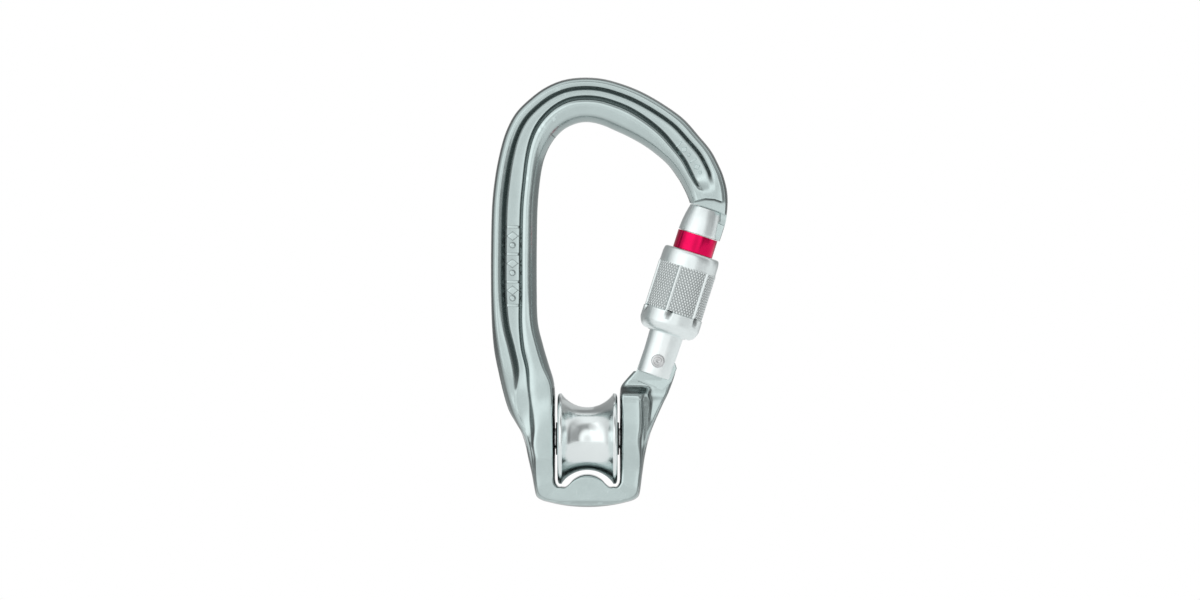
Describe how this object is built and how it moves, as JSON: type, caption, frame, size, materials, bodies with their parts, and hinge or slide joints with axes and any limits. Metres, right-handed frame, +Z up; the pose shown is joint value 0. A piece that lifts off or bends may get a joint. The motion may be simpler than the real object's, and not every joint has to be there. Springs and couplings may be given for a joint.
{
  "type": "rope pulley",
  "caption": "Pulley built into a screw-lock carabiner: a forged aluminium eye with a fork at its foot that holds a ball-bearing rope sheave, and a sprung gate with a knurled locking sleeve.",
  "frame": {"origin": "the inner apex of the top bend, where the anchor bears and the part hangs", "axes": "+Z up along the hanging direction, +X from the spine towards the gate and along the sheave's axle, Y across the thin way, which is the way the rope runs; the front is -Y"},
  "size_m": [0.0677, 0.026, 0.1227],
  "materials": {
    "forged_aluminium": "forged and tumbled, satin to semi-bright, cool grey",
    "polished_aluminium": "turned and polished, near mirror",
    "frosted_aluminium": "pale matt anodised, fine blasted grain",
    "red_anodised": "glossy translucent red anodising",
    "steel": "turned stainless steel",
    "bearing_steel": "ground bearing steel",
    "spring_steel": "drawn spring wire",
    "bronze": "bearing bronze",
    "black_rubber": "moulded nitrile seal",
    "black_polymer": "moulded low-friction polymer"
  },
  "bodies": {
    "body": {"frame": "forged_aluminium", "sheave_axle": "steel", "thrust_washer_left": "black_polymer", "thrust_washer_right": "black_polymer", "bearing_spacer": "steel", "bearing_inner_ring_left": "bearing_steel", "bearing_inner_ring_right": "bearing_steel"},
    "sheave": {"sheave": "polished_aluminium", "bearing_outer_ring_left": "bearing_steel", "bearing_seal_left_outer": "black_rubber", "bearing_seal_left_inner": "black_rubber", "bearing_outer_ring_right": "bearing_steel", "bearing_seal_right_outer": "black_rubber", "bearing_seal_right_inner": "black_rubber"},
    "cage_left": {"bearing_cage_left": "bronze", "ball_left_1": "bearing_steel", "ball_left_2": "bearing_steel", "ball_left_3": "bearing_steel", "ball_left_4": "bearing_steel", "ball_left_5": "bearing_steel", "ball_left_6": "bearing_steel", "ball_left_7": "bearing_steel"},
    "cage_right": {"bearing_cage_right": "bronze", "ball_right_1": "bearing_steel", "ball_right_2": "bearing_steel", "ball_right_3": "bearing_steel", "ball_right_4": "bearing_steel", "ball_right_5": "bearing_steel", "ball_right_6": "bearing_steel", "ball_right_7": "bearing_steel"},
    "gate": {"gate_body": "frosted_aluminium", "indicator_band": "red_anodised", "gate_rivet": "steel", "gate_spring": "spring_steel"},
    "plunger": {"gate_plunger": "steel"},
    "sleeve_carrier": {"sleeve_friction_ring": "black_polymer"},
    "sleeve": {"lock_sleeve": "frosted_aluminium"}
  },
  "joints": [
    {"name": "sheave_spin", "type": "hinge", "parent": "body", "child": "sheave", "pos_m": [0, 0, -0.0903], "axis": [1, 0, 0], "continuous": true},
    {"name": "cage_left_spin", "type": "hinge", "parent": "body", "child": "cage_left", "pos_m": [0, 0, -0.0903], "axis": [1, 0, 0], "continuous": true},
    {"name": "cage_right_spin", "type": "hinge", "parent": "body", "child": "cage_right", "pos_m": [0, 0, -0.0903], "axis": [1, 0, 0], "continuous": true},
    {"name": "gate_swing", "type": "hinge", "parent": "body", "child": "gate", "pos_m": [0.0201, 0, -0.0681], "axis": [0, -1, 0], "range_deg": [0, 28], "stiffness_Nm_per_rad": 0.15, "springref_deg": -17.19},
    {"name": "plunger_slide", "type": "slide", "parent": "gate", "child": "plunger", "axis": [0.304, 0, 0.9527], "range_m": [0, 0.0013], "deforming": ["gate_spring"]},
    {"name": "sleeve_lift", "type": "slide", "parent": "gate", "child": "sleeve_carrier", "axis": [0.304, 0, 0.9527], "range_m": [0, 0.0075]},
    {"name": "sleeve_turn", "type": "hinge", "parent": "sleeve_carrier", "child": "sleeve", "pos_m": [0.0201, 0, -0.0681], "axis": [0.304, 0, 0.9527], "range_deg": [0, 1080]}
  ],
  "couplings": [
    {"joint": "cage_left_spin", "follows": "sheave_spin", "ratio": 0.6094},
    {"joint": "cage_right_spin", "follows": "sheave_spin", "ratio": 0.6094},
    {"joint": "plunger_slide", "follows": "gate_swing", "m_per_rad": 0.0026},
    {"joint": "sleeve_lift", "follows": "sleeve_turn", "m_per_rad": 0.00039789}
  ]
}
